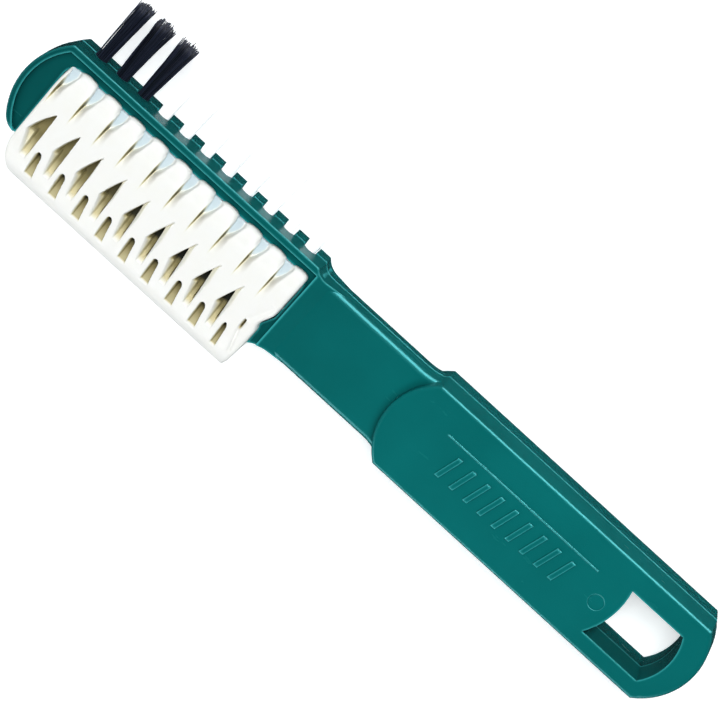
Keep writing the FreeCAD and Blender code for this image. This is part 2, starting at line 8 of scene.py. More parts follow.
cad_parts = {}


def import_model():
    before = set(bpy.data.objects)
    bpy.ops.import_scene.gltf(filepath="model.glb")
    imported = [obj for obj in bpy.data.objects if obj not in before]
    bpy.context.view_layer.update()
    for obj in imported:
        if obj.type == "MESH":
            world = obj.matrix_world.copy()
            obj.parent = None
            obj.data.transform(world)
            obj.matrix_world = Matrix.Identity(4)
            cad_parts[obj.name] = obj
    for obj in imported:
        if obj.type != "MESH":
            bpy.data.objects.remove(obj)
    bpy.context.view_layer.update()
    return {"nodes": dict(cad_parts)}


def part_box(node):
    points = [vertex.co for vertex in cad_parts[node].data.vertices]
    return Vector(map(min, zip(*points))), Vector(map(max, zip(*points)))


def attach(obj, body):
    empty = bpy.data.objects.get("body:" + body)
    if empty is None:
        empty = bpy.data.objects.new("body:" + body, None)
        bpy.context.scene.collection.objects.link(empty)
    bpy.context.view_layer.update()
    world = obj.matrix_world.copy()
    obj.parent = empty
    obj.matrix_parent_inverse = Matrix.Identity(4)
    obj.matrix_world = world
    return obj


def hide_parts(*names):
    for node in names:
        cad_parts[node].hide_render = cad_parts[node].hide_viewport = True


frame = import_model()

MM = 0.001
GRIP_HALF_WIDTH = 12.6 * MM
NOSE_REACH = 97.7 * MM          # from the design origin to the tip of the nose

# The design frame of the brush lies in the row frame as its boxes say: the parting
# plane halves the rubber block, the grip's lower side is the back shell's lowest Y,
# and the tip of the nose is its lowest X.
RUBBER_LOW, RUBBER_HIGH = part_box("rubber_block")
SHELL_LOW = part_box("back_shell")[0]
DESIGN_X = SHELL_LOW.x + NOSE_REACH
DESIGN_Y = SHELL_LOW.y + GRIP_HALF_WIDTH
PARTING_Z = (RUBBER_LOW.z + RUBBER_HIGH.z) / 2


def world(x, y, z):
    """A place given in millimetres in the design frame, in the row frame in metres."""
    return Vector((DESIGN_X + x * MM, DESIGN_Y + y * MM, PARTING_Z + z * MM))


# ---------------------------------------------------------------- material helpers

def new_material(name):
    material = bpy.data.materials.new(name)
    material.use_nodes = True
    tree = material.node_tree
    return material, tree, tree.nodes["Principled BSDF"]


def object_coordinates(tree):
    return tree.nodes.new("ShaderNodeTexCoord").outputs["Object"]


def noise(tree, vector, scale, detail=3.0, roughness=0.5):
    node = tree.nodes.new("ShaderNodeTexNoise")
    node.inputs["Scale"].default_value = scale
    node.inputs["Detail"].default_value = detail
    node.inputs["Roughness"].default_value = roughness
    tree.links.new(vector, node.inputs["Vector"])
    return node.outputs["Fac"]


def ramp(tree, value, stops):
    """Colour ramp from (position, colour) stops."""
    node = tree.nodes.new("ShaderNodeValToRGB")
    elements = node.color_ramp.elements
    while len(elements) < len(stops):
        elements.new(0.5)
    for element, (position, colour) in zip(elements, stops):
        element.position = position
        element.color = (*colour, 1.0)
    tree.links.new(value, node.inputs["Fac"])
    return node.outputs["Color"]


def spread(tree, value, low, high, start=0.0, end=1.0):
    """Map a value from the range start to end, to the range low to high."""
    node = tree.nodes.new("ShaderNodeMapRange")
    node.inputs["From Min"].default_value = start
    node.inputs["From Max"].default_value = end
    node.inputs["To Min"].default_value = low
    node.inputs["To Max"].default_value = high
    tree.links.new(value, node.inputs["Value"])
    return node.outputs["Result"]


def bump(tree, shader, height, strength, distance, underlying=None):
    """Bump on the shader's normal, on top of an underlying normal."""
    node = tree.nodes.new("ShaderNodeBump")
    node.inputs["Strength"].default_value = strength
    node.inputs["Distance"].default_value = distance
    tree.links.new(height, node.inputs["Height"])
    if underlying is not None:
        tree.links.new(underlying, node.inputs["Normal"])
    tree.links.new(node.outputs["Normal"], shader.inputs["Normal"])
    return node.outputs["Normal"]


def stretched(tree, vector, factors):
    node = tree.nodes.new("ShaderNodeMapping")
    node.inputs["Scale"].default_value = factors
    tree.links.new(vector, node.inputs["Vector"])
    return node.outputs["Vector"]


def separate(tree, vector, axis):
    node = tree.nodes.new("ShaderNodeSeparateXYZ")
    tree.links.new(vector, node.inputs["Vector"])
    return node.outputs[axis]


def attribute_value(tree, name):
    node = tree.nodes.new("ShaderNodeAttribute")
    node.attribute_name = name
    return node.outputs["Fac"]


def nearby(tree, distance, inside):
    """1 in the open, less in a corner (or, with inside, along an outer edge)."""
    node = tree.nodes.new("ShaderNodeAmbientOcclusion")
    node.samples = 12
    node.inside = inside
    node.only_local = inside
    node.inputs["Distance"].default_value = distance
    return node.outputs["AO"]


def tinted(tree, factor, plain, tint):
    """Mix of a colour and a fixed tint."""
    node = tree.nodes.new("ShaderNodeMix")
    node.data_type = "RGBA"
    tree.links.new(factor, node.inputs["Factor"])
    tree.links.new(plain, node.inputs["A"])
    node.inputs["B"].default_value = (*tint, 1.0)
    return node.outputs["Result"]


def glow(shader, colour, strength):
    shader.inputs["Emission Color"].default_value = (*colour, 1.0)
    shader.inputs["Emission Strength"].default_value = strength


# ---------------------------------------------------------------- materials

PLASTIC_DARK = (0.0010, 0.116, 0.114)
PLASTIC_LIGHT = (0.0015, 0.139, 0.137)
PLASTIC_NOSE_SHADE = (0.0010, 0.040, 0.040)
PLASTIC_CORNER_SHADE = (0.0005, 0.020, 0.021)
PLASTIC_EDGE_HIGHLIGHT = (0.045, 0.42, 0.43)
PLASTIC_GLOSS = (0.24, 0.92, 1.0, 1.0)
NOSE_SHADE_FROM_X = -0.098        # metres: the nose, where the painted shade on the plastic is deepest
NOSE_SHADE_TO_X = 0.020           # metres: the start of the grip, where the painted shade ends
CORNER_SHADE_REACH = 0.0026            # metres: how far from a corner the painted shade reaches
EDGE_HIGHLIGHT_REACH = 0.0007              # metres: how far from an edge the painted highlight reaches
EDGE_RADIUS = 0.00028            # metres
# the rubber's cream colour, then painted shade from tan through brown to near black
CREAM_TO_PAINTED_SHADE = [(0.00, (0.87, 0.87, 0.855)), (0.14, (0.84, 0.83, 0.75)),
                  (0.34, (0.66, 0.60, 0.38)), (0.58, (0.26, 0.225, 0.105)),
                  (0.95, (0.020, 0.022, 0.018))]
BLOTCH_WEIGHT = 0.08
FLOOR_SHADE_BLUE = (0.56, 0.66, 0.71)   # painted pale blue shade on the floors between the finger ends


def plastic_material():
    """Moulded deep green plastic: satin skin, painted highlights along the edges, painted shade
    in the corners and painted shade towards the nose.
    """
    material, tree, shader = new_material("green_plastic_look")
    place = object_coordinates(tree)
    clouds = noise(tree, place, 45.0, 4.0)
    colour = ramp(tree, clouds, [(0.30, PLASTIC_DARK), (0.70, PLASTIC_LIGHT)])
    # painted shade: the plastic gets darker towards the nose
    nose_shade = spread(tree, separate(tree, place, "X"), 0.66, 0.0,
                       NOSE_SHADE_FROM_X, NOSE_SHADE_TO_X)
    colour = tinted(tree, nose_shade, colour, PLASTIC_NOSE_SHADE)
    # painted shade: darker in the corners and recesses, where shade falls
    corner = spread(tree, nearby(tree, CORNER_SHADE_REACH, False), 0.80, 0.0, 0.35, 0.92)
    colour = tinted(tree, corner, colour, PLASTIC_CORNER_SHADE)
    # painted highlight: lighter along the outer edges
    edge = spread(tree, nearby(tree, EDGE_HIGHLIGHT_REACH, True), 0.85, 0.0, 0.45, 0.88)
    colour = tinted(tree, edge, colour, PLASTIC_EDGE_HIGHLIGHT)
    tree.links.new(colour, shader.inputs["Base Color"])
    rounded = tree.nodes.new("ShaderNodeBevel")
    rounded.samples = 6
    rounded.inputs["Radius"].default_value = EDGE_RADIUS
    streaks = noise(tree, stretched(tree, place, (90.0, 400.0, 400.0)), 1.0, 5.0, 0.6)
    tree.links.new(spread(tree, streaks, 0.24, 0.29), shader.inputs["Roughness"])
    shader.inputs["IOR"].default_value = 1.5
    shader.inputs["Specular IOR Level"].default_value = 0.30
    shader.inputs["Specular Tint"].default_value = PLASTIC_GLOSS
    skin = bump(tree, shader, noise(tree, place, 2600.0, 2.0), 0.12, 0.0002,
                rounded.outputs["Normal"])
    bump(tree, shader, noise(tree, place, 120.0, 2.0), 0.05, 0.001, skin)
    return material


def rubber_material():
    """Cream crepe rubber with painted shade, tan, brown and near black, in the depth of its
    cells and creases, and painted pale blue shade on the gaps' floors.
    """
    material, tree, shader = new_material("crepe_rubber_look")
    place = object_coordinates(tree)
    blotch = noise(tree, place, 300.0, 4.0)
    shift = tree.nodes.new("ShaderNodeMath")
    shift.operation = "MULTIPLY_ADD"
    tree.links.new(blotch, shift.inputs[0])
    shift.inputs[1].default_value = BLOTCH_WEIGHT
    # the depth attribute carries painted shade
    tree.links.new(attribute_value(tree, "depth"), shift.inputs[2])
    colour = ramp(tree, shift.outputs["Value"], CREAM_TO_PAINTED_SHADE)
    # painted pale blue shade on the floors between the finger ends
    tree.links.new(tinted(tree, attribute_value(tree, "blue_shade"), colour, FLOOR_SHADE_BLUE),
                   shader.inputs["Base Color"])
    tree.links.new(spread(tree, blotch, 0.42, 0.62), shader.inputs["Roughness"])
    shader.inputs["Specular IOR Level"].default_value = 0.12
    grain = bump(tree, shader, noise(tree, place, 1800.0, 3.0), 0.12, 0.0003)
    bump(tree, shader, noise(tree, place, 220.0, 3.0), 0.15, 0.0008, grain)
    return material


def nylon_material(name, dark, light, strength, gloss):
    """Bristle filaments, with a tone that changes from filament to filament, and a glow of
    painted light of the given strength.
    """
    material, tree, shader = new_material(name)
    tone = attribute_value(tree, "tone")
    tree.links.new(ramp(tree, tone, [(0.0, dark), (1.0, light)]), shader.inputs["Base Color"])
    along = noise(tree, stretched(tree, object_coordinates(tree), (3000.0, 200.0, 3000.0)), 1.0)
    tree.links.new(spread(tree, along, 0.28, 0.45), shader.inputs["Roughness"])
    shader.inputs["Specular IOR Level"].default_value = gloss
    # painted light: the filaments glow though they are no lamp
    glow(shader, (0.97, 0.98, 1.0), strength)
    return material


def strip_material():
    """Pale strip that holds the tufts, between the shells."""
    material, tree, shader = new_material("strip_plastic_look")
    place = object_coordinates(tree)
    tone = noise(tree, place, 200.0, 3.0)
    tree.links.new(ramp(tree, tone, [(0.3, (0.60, 0.60, 0.56)), (0.7, (0.72, 0.72, 0.68))]),
                   shader.inputs["Base Color"])
    tree.links.new(spread(tree, tone, 0.4, 0.6), shader.inputs["Roughness"])
    bump(tree, shader, noise(tree, place, 1500.0), 0.1, 0.0002)
    return material


def staple_material():
    """Drawn brass of the staples that hold the tufts."""
    material, tree, shader = new_material("staple_metal_look")
    place = object_coordinates(tree)
    tone = noise(tree, stretched(tree, place, (200.0, 4000.0, 4000.0)), 1.0)
    tree.links.new(ramp(tree, tone, [(0.3, (0.55, 0.42, 0.20)), (0.7, (0.78, 0.64, 0.36))]),
                   shader.inputs["Base Color"])
    tree.links.new(spread(tree, tone, 0.25, 0.4), shader.inputs["Roughness"])
    shader.inputs["Metallic"].default_value = 1.0
    return material


PLASTIC = plastic_material()
RUBBER = rubber_material()
BLACK_NYLON = nylon_material("black_nylon_look", (0.003, 0.004, 0.006),
                             (0.022, 0.028, 0.052), 0.0, 0.09)
# the white filaments glow a little: painted light in place of the light that passes between
# them
WHITE_NYLON = nylon_material("white_nylon_look", (0.90, 0.905, 0.92),
                             (0.97, 0.97, 0.97), 0.20, 0.22)
STRIP = strip_material()
STAPLE = staple_material()


# ---------------------------------------------------------------- pieces

def give(node_name, material):
    """Put a material on a carried-over CAD node."""
    node = frame["nodes"][node_name]
    node.data.materials.clear()
    node.data.materials.append(material)


def add_piece(name, verts, faces, material, values, node):
    """Add a visible piece that stands for a CAD node. values has the numbers of each
    attribute that its material reads. Four-sided faces are shaded smooth."""
    mesh = bpy.data.meshes.new(name)
    mesh.from_pydata(verts, [], faces)
    for attribute_name, numbers in values.items():
        attribute = mesh.attributes.new(attribute_name, "FLOAT", "POINT")
        attribute.data.foreach_set("value", np.asarray(numbers, dtype=np.float32).ravel())
    mesh.polygons.foreach_set("use_smooth", [len(face.vertices) == 4 for face in mesh.polygons])
    mesh.materials.append(material)
    piece = bpy.data.objects.new(name, mesh)
    bpy.context.scene.collection.objects.link(piece)
    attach(piece, "root")
    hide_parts(node)


# ---------------------------------------------------------------- lamella rubber
# Lengths are in millimetres. A "run" is the distance along the rubber's section from
# the window's upper edge, over the crest, to the middle of the round lower edge.

PITCH = 6.98                 # distance from one rubber finger to the next
FIRST_FINGER_X = -84.7
FINGER_COUNT = 10
LAST_FINGER_X = FIRST_FINGER_X + PITCH * (FINGER_COUNT - 1)
FINGER_HALF_WIDTH = 2.45
PLACE_JITTER = 0.07          # how unevenly the fingers, gaps and cells are placed
SHOULDER_Y = 2.5             # where the curved shoulder meets the flat crest
WINDOW_TOP_Y = 8.7
SEAT_Z = 5.4                 # height of the floor between the finger ends
EDGE_Z = 5.0
CREST_Z = 9.0
ROUND_Y = -12.0              # middle of the round lower edge
SHOULDER_DROP = CREST_Z - EDGE_Z
SHOULDER_WIDTH = WINDOW_TOP_Y - SHOULDER_Y
SHOULDER_RADIUS = (SHOULDER_WIDTH ** 2 + SHOULDER_DROP ** 2) / (2 * SHOULDER_DROP)
SHOULDER_RUN = SHOULDER_RADIUS * math.asin(SHOULDER_WIDTH / SHOULDER_RADIUS)
CREST_END_RUN = SHOULDER_RUN + SHOULDER_Y - ROUND_Y
HALF_RUN = CREST_END_RUN + CREST_Z * math.pi / 2
LEFT_X = -89.8
RIGHT_X = -19.8
END_ROUND = 0.9
GRID_RUN = 0.20
GRID_X = 0.13
SAIL_APEX_RUN = 11.7         # a sail-shaped cell's apex, left corner and foot
SAIL_CORNER_RUN = 18.6
SAIL_FOOT_RUN = 24.3
SAIL_DEPTH = 5.0
SLOT_DEPTH = 4.6             # the dark slit along the crease of such a cell
LOW_TOP_RUN = 20.8           # a lower cell's round top and its foot
LOW_FOOT_RUN = 27.4
LOW_DEPTH = 4.2
GAP_FLOOR_WIDTH = 2.35       # a gap's floor at the window's edge
GAP_FLOOR_RUN = 6.3          # where that floor has narrowed to nothing
GAP_DEPTH = 3.2
GROOVE_FADE = 0.8
# the rubber's sides inside the window and round the bristle strip, as (y, z)
INNER_WALL = ((6.35, 2.75), (8.6, 2.75), (8.72, 4.1), (8.72, 5.22))
SPINE_TOP_Y = 6.0
END_FACE_STEPS = (0.35, 1.0)


def smooth(value):
    """0 below 0, 1 above 1 and a soft step between."""
    value = np.clip(value, 0.0, 1.0)
    return value * value * (3 - 2 * value)


def steep(distance, width):
    """Soft step across an edge, centred where distance is 0."""
    return smooth(distance / width + 0.5)


def rise(run, start, length):
    """0 up to start, then up to 1 within length."""
    return smooth((run - start) / length)


def fall(run, end, length):
    """1, then down to 0 at end, within length."""
    return smooth((end - run) / length)


def bell(distance, width):
    return np.exp(-(distance / width) ** 2)


def beyond(x, run, start, end):
    """Distance past a line towards +X; the line runs downwards from start to end."""
    dx = end[0] - start[0]
    dr = end[1] - start[1]
    return ((x - start[0]) * dr - (run - start[1]) * dx) / math.hypot(dx, dr)


def line_x(run, start, end):
    """X of a straight line at a distance along the section."""
    return start[0] + (end[0] - start[0]) * (run - start[1]) / (end[1] - start[1])


def profile(run):
    """Place and outward normal (y, z) on the front half of the rubber's section."""
    angle = (SHOULDER_RUN - np.minimum(run, SHOULDER_RUN)) / SHOULDER_RADIUS
    turn = np.maximum(run - CREST_END_RUN, 0.0) / CREST_Z
    crest = np.clip(run, SHOULDER_RUN, CREST_END_RUN) - SHOULDER_RUN
    y = SHOULDER_Y - crest + SHOULDER_RADIUS * np.sin(angle) - CREST_Z * np.sin(turn)
    z = CREST_Z * np.cos(turn) - SHOULDER_RADIUS * (1.0 - np.cos(angle))
    ny = np.sin(angle) - np.sin(turn)
    nz = np.cos(angle) * np.cos(turn)
    return y, z, ny, nz


def sail_cell(x, run, middle, left, shift):
    """Depth and painted shade of a sail-shaped cell. A crease runs from the left edge, or from
    the apex where shift is 0, to the foot. Right of it a wall slopes up to the right edge;
    left of it are a deep corner, a channel that rises to the foot and a shallow wedge."""
    apex = (middle - 0.18, SAIL_APEX_RUN)
    corner = (middle - left, SAIL_CORNER_RUN)
    foot = (middle + 0.18, SAIL_FOOT_RUN)
    crease_top = (apex[0] - 1.05 * shift, apex[1] + 2.6 * shift)
    right_bend = (middle + 0.10 + 0.55 * shift, 16.8)
    wedge_foot = (middle - 1.35, SAIL_FOOT_RUN + 0.6)
    # outline, crease and right edge
    down = np.clip((run - apex[1]) / (corner[1] - apex[1]), 0.0, 1.0)
    bulge = (0.35 - 0.25 * shift) * np.sin(math.pi * down)
    upper = beyond(x, run, apex, corner) + bulge
    lower = beyond(x, run, corner, wedge_foot)
    left_edge = line_x(run, apex, corner) - bulge
    crease_x = np.where(run < crease_top[1], left_edge, line_x(run, crease_top, foot))
    right_x = np.where(run < right_bend[1], line_x(run, apex, right_bend),
                       line_x(run, right_bend, foot))
    past = x - crease_x
    # the floors left of the crease and the wall right of it
    channel_left = line_x(run, (middle - 1.90, 17.8), (middle - 1.20, SAIL_FOOT_RUN))
    channel = steep(x - channel_left, 0.30)
    above = steep(18.4 - run, 1.1)
    wedge = smooth(lower / 0.9)
    floor = np.maximum(above, np.maximum(channel, 0.42 * wedge))
    wall_width = np.maximum(right_x - crease_x, 0.30)
    right_wall = 0.72 * (1.0 - smooth(past / 0.34)) + 0.28 * (1.0 - smooth(past / wall_width))
    ends = fall(run, SAIL_FOOT_RUN, 1.2) * rise(run, SAIL_APEX_RUN - 0.2, 0.6)
    inside = steep(upper - 0.15, 0.40) * right_wall * ends
    rising = 1.0 - 0.62 * rise(run, 16.4, 8.0)
    depth = SAIL_DEPTH * inside * floor * rising * smooth((lower + 0.4) / 0.5)
    slot = bell(past + 0.10, 0.15) * steep(upper - 0.1, 0.3)
    slot *= rise(run, crease_top[1], 1.0) * fall(run, SAIL_FOOT_RUN - 0.4, 2.4)
    depth = np.maximum(depth, SLOT_DEPTH * slot * steep(lower, 0.4))
    # painted shade of the same parts
    corner_shade = above * (0.56 + 0.36 * shift)
    channel_shade = (1.0 - above) * channel * (0.64 - 0.32 * rise(run, 17.6, 6.4))
    wedge_shade = (1.0 - above) * (1.0 - channel) * wedge * (0.32 - 0.20 * rise(run, 18.0, 5.0))
    left_part = steep(upper - 0.15, 0.30) * steep(lower, 0.5) * steep(0.10 - past, 0.25) * ends
    right_part = steep(past, 0.2) * smooth((right_x - x) / 0.35 + 0.3)
    right_part *= fall(run, SAIL_APEX_RUN + 8.5, 7.0)
    right_part *= steep(upper - 0.1, 0.3) * rise(run, SAIL_APEX_RUN, 0.8)
    shade = left_part * (corner_shade + channel_shade + wedge_shade)
    shade = np.maximum(shade, (0.16 + 0.10 * np.exp(-past / 0.3)) * right_part)
    return depth, np.maximum(shade, 0.95 * slot)


def low_cell(x, run, middle, width):
    """Depth and painted shade of a cell in the lower row: deep at its round top, rising to
    the edge, with lines of painted shade along its sides."""
    start_x = middle + 1.72
    left = x - (start_x + 0.055 * (run - LOW_TOP_RUN))
    right = line_x(run, (start_x + 1.28 * width, LOW_TOP_RUN),
                   (start_x + 2.50 * width, LOW_FOOT_RUN)) - x
    across = (left - right) / (left + right)
    top = run - LOW_TOP_RUN - 0.05 - 0.45 * np.abs(across) ** 2.4
    inside = steep(left, 0.30) * steep(right, 0.30) * steep(top, 0.40)
    depth = LOW_DEPTH * inside * np.clip((LOW_FOOT_RUN + 0.3 - run) / 5.4, 0.0, 1.0)
    down = np.clip((run - LOW_TOP_RUN - 0.4) / 5.6, 0.0, 1.0)
    # painted shade: darkest at the cell's top, lighter towards its foot, with dark lines along
    # its sides
    tone = 1.05 - 0.36 * rise(down, 0.05, 0.3) - 0.28 * down
    sides = 0.20 * (bell(left, 0.22) + 0.7 * bell(right, 0.22))
    return depth, inside * (tone + sides) * fall(run, LOW_FOOT_RUN + 0.1, 0.5)


def finger_gap(x, run, z, nz, middle):
    """Depth of the gap right of a finger, its painted shade and its floor's painted blue shade:
    a sheer wall on its left, a floor level with the window's edge, and the next finger's flank."""
    past_wall = x - (middle + 2.0 + 0.85 * smooth(run / 2.0 + 0.25))
    wall = steep(past_wall, 0.2)
    narrowing = 1.0 - np.clip(run / GAP_FLOOR_RUN, 0.0, 1.0)
    floor_width = GAP_FLOOR_WIDTH * narrowing ** 1.25
    flank_width = 0.75 + 1.2 * smooth(run / 6.0)
    flank = 1.0 - smooth((past_wall - floor_width) / flank_width)
    floor = np.minimum(np.maximum(z - SEAT_Z, 0.0) / np.maximum(nz, 0.35), GAP_DEPTH)
    depth = floor * (1.0 - rise(run, 4.4, 7.4)) * wall * flank
    # where the painted blue shade shows on the gap's floor
    shown = wall * steep(floor_width - past_wall, 0.3) * fall(run, 6.4, 4.0)
    low_part = rise(run, 2.0, 4.0) * fall(run, 12.4, 6.0)
    # painted shade: a dark line in the crease by the wall and a tan shade that fades from it
    crease = 0.95 * bell(past_wall - 0.03, 0.15)
    halo = 0.22 * np.exp(-np.maximum(past_wall, 0.0) / 0.75) * wall
    return depth, low_part * np.maximum(crease, halo), shown


def groove(x, run, start, end, depth, width):
    """Soft groove along a line, fading at its ends."""
    dx, dr = end[0] - start[0], end[1] - start[1]
    length = math.hypot(dx, dr)
    along = ((x - start[0]) * dx + (run - start[1]) * dr) / length
    ends = steep(along, GROOVE_FADE) * steep(length - along, GROOVE_FADE)
    return depth * bell(beyond(x, run, start, end), width) * ends


def pattern(x, run, z, nz):
    """Fingers, gaps and cells all over the front half: total depth, gap depth, how far a
    finger stands out, painted shade, and where a gap's floor gets painted blue shade."""
    deep, gaps, standing, shade, blue_shade = (np.zeros_like(x) for _ in range(5))
    rng = np.random.default_rng(8)
    for number in range(-1, FINGER_COUNT):
        middle = FIRST_FINGER_X + PITCH * number
        gap_off, low_off, sail_off, _ = rng.normal(0.0, PLACE_JITTER, 4)
        if number < FINGER_COUNT - 1:
            gap, dark, shown = finger_gap(x, run, z, nz, middle + gap_off)
            gaps = np.maximum(gaps, gap)
            shade = np.maximum(shade, dark)
            blue_shade = np.maximum(blue_shade, shown)
        if number < 0:
            continue
        if number < FINGER_COUNT - 1:
            width = 1.0 if number < FINGER_COUNT - 2 else 0.7
            left = 3.55 if number == 0 else 2.85
            shift = min(max((number - 0.5) / 4.0, 0.0), 1.0)
            for cell, dark in (low_cell(x, run, middle + low_off, width),
                               sail_cell(x, run, middle + sail_off, left, shift)):
                deep = np.maximum(deep, cell)
                shade = np.maximum(shade, dark)
        dome = np.clip(1.0 - ((x - middle - 0.1) / FINGER_HALF_WIDTH) ** 2, 0.0, 1.0)
        standing = np.maximum(standing, np.sqrt(dome))
    # the last finger has a slit and two soft folds in place of cells
    last = LAST_FINGER_X
    slit = groove(x, run, (last - 2.1, 17.2), (last - 2.0, 19.6), 3.0, 0.22)
    folds = np.maximum(groove(x, run, (last + 1.0, 11.0), (last - 1.9, 16.8), 0.4, 0.6),
                       groove(x, run, (last - 2.0, 19.8), (last - 0.4, 25.5), 0.5, 0.35))
    # painted shade in the slit
    shade = np.maximum(shade, slit / 3.6)
    deep = np.maximum(np.maximum(deep, slit), np.maximum(gaps, folds))
    return deep, gaps, standing, shade, blue_shade


def rubber_piece():
    """Closed skin of the lamella rubber: the same pattern on the front and the back."""
    runs = np.linspace(0.0, HALF_RUN, int(HALF_RUN / GRID_RUN) + 1)
    y, z, ny, nz = (column[:, None] for column in profile(runs))
    # the ends draw in round the lower edge, and the right end is waisted
    fold = rise(runs, 22.0, HALF_RUN - 22.0)
    left_end = (LEFT_X + 3.5 * fold)[:, None]
    right_end = RIGHT_X - 1.5 * rise(runs, 11.6, 4.6) + 0.5 * rise(runs, 16.4, 1.6) - 0.9 * fold
    right_end = right_end[:, None]
    columns = int((RIGHT_X - LEFT_X) / GRID_X)
    x = left_end + (right_end - left_end) * np.linspace(0.0, 1.0, columns)[None, :]
    run = np.repeat(runs[:, None], columns, axis=1)
    deep, gaps, standing, shade, blue_shade = pattern(x, run, z, nz)
    # finger ends overhang the window's edge and bulge above the gaps' floors
    lift = standing * fall(run, 2.6, 2.6)
    bulb = 1.15 * standing * np.sqrt(np.clip(run / 1.1, 0.0, 1.0)) * fall(run, 5.2, 4.2)
    bulb *= 1.0 - np.clip(gaps / 0.6, 0.0, 1.0)
    # rounded ends
    inset = np.minimum(x - left_end, right_end - x)
    outside = np.maximum(END_ROUND - inset, 0.0)
    drop = END_ROUND - np.sqrt(np.maximum(END_ROUND ** 2 - outside ** 2, 0.0))
    total = deep + drop
    y = y - ny * total + 0.85 * lift
    z = z - nz * total + 0.28 * lift + bulb
    # closing rows: into the window and round the bristle strip's channel
    wall_y = [np.full(columns, place[0]) for place in INNER_WALL]
    wall_z = [np.full(columns, place[1]) for place in INNER_WALL]
    wall_z[-1] = np.minimum(wall_z[-1], z[0] - 0.03)
    y = np.vstack(wall_y + [y])
    z = np.vstack(wall_z + [z])
    x, shade, blue_shade = (np.vstack([grid[0]] * len(INNER_WALL) + [grid])
                      for grid in (x, shade, blue_shade))
    # mirrored back half, without a second row at the middle of the round edge
    z = np.vstack([z, -z[-2::-1]])
    x, y, shade, blue_shade = (np.vstack([grid, grid[-2::-1]]) for grid in (x, y, shade, blue_shade))
    # end faces: columns that run in to the section's spine
    spine = np.clip(y[:, 0], ROUND_Y, SPINE_TOP_Y)
    for inward in END_FACE_STEPS:
        first_y, last_y = (edge + (spine - edge) * inward for edge in (y[:, 0], y[:, -1]))
        y = np.column_stack([first_y, y, last_y])
        z = np.column_stack([z[:, 0] * (1.0 - inward), z, z[:, -1] * (1.0 - inward)])
        x, shade, blue_shade = (np.column_stack([grid[:, 0], grid, grid[:, -1]])
                          for grid in (x, shade, blue_shade))
    verts = [world(*place) for place in zip(x.ravel(), y.ravel(), z.ravel())]
    here = np.arange(x.size).reshape(x.shape)
    below = np.roll(here, -1, axis=0)
    faces = np.stack([here[:, :-1], below[:, :-1], below[:, 1:], here[:, 1:]], axis=-1)
    # the depth attribute carries painted shade, the other one where the painted blue shade goes
    add_piece("lamella_rubber", verts, faces.reshape(-1, 4).tolist(), RUBBER,
              {"depth": shade, "blue_shade": blue_shade}, "rubber_block")


# ---------------------------------------------------------------- bristles

FILAMENTS = 130
FILAMENT_RADIUS = 0.105
FILAMENT_SIDES = 5
FILAMENT_STEPS = 6
GOLDEN_ANGLE = 2.39996
ROOT_SPREAD = 1.5
ROOT_Y = 9.4
TIP_Y = 28.8
STRAIGHT_SHARE = 0.16        # the share of a filament that is held straight by its hole
BLACK_TUFTS = ((0.75, 1.95), (0.20, 2.35), (0.85, 2.4))     # lean and spread at the tips
WHITE_TUFT = (0.2, 2.2)
WHITE_COUNT = 8
BLACK_SEED = 20
WHITE_SEED = 40


def tuft_piece(name, node, seed, material, slot, lean, spread_out):
    """One bundle of fine filaments that fan out from their hole to uneven tips."""
    rng = np.random.default_rng(seed)
    low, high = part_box(node)
    middle_x = ((low.x + high.x) / 2 - DESIGN_X) / MM
    turns = [2 * math.pi * corner / FILAMENT_SIDES for corner in range(FILAMENT_SIDES)]
    ring = [(FILAMENT_RADIUS * math.cos(turn), FILAMENT_RADIUS * math.sin(turn))
            for turn in turns]
    verts, faces, tones = [], [], []
    for number in range(FILAMENTS):
        reach = math.sqrt((number + 0.5) / FILAMENTS)
        angle = number * GOLDEN_ANGLE + rng.normal(0.0, 0.12)
        out = np.array([math.cos(angle), math.sin(angle)])
        root = out * reach * (ROOT_SPREAD - FILAMENT_RADIUS)
        tip = out * reach * spread_out + rng.normal(0.0, 0.22, 2) + np.array([lean, 0.0])
        top = TIP_Y + rng.normal(-0.35, 0.38) - 0.35 * reach ** 2
        bend = rng.normal(0.0, 0.14, 2)
        tone = float(np.clip(rng.normal(0.5, 0.25), 0.0, 1.0))
        first = len(verts)
        for step in range(FILAMENT_STEPS + 1):
            share = step / FILAMENT_STEPS
            y = ROOT_Y + (top - ROOT_Y) * share
            flare = max(0.0, (share - STRAIGHT_SHARE) / (1.0 - STRAIGHT_SHARE)) ** 1.15
            centre = root + (tip - root) * flare + bend * math.sin(math.pi * share)
            verts += [world(middle_x + centre[0] + side_x, y, centre[1] + side_z)
                      for side_x, side_z in ring]
        tones += [tone] * (len(verts) - first)
        last = first + FILAMENT_STEPS * FILAMENT_SIDES
        for here in range(first, last, FILAMENT_SIDES):
            for corner in range(FILAMENT_SIDES):
                after = (corner + 1) % FILAMENT_SIDES
                faces.append((here + corner, here + FILAMENT_SIDES + corner,
                              here + FILAMENT_SIDES + after, here + after))
        faces.append(tuple(range(first, first + FILAMENT_SIDES)))
        faces.append(tuple(reversed(range(last, last + FILAMENT_SIDES))))
    add_piece(name, verts, faces, material, {"tone": tones}, node)


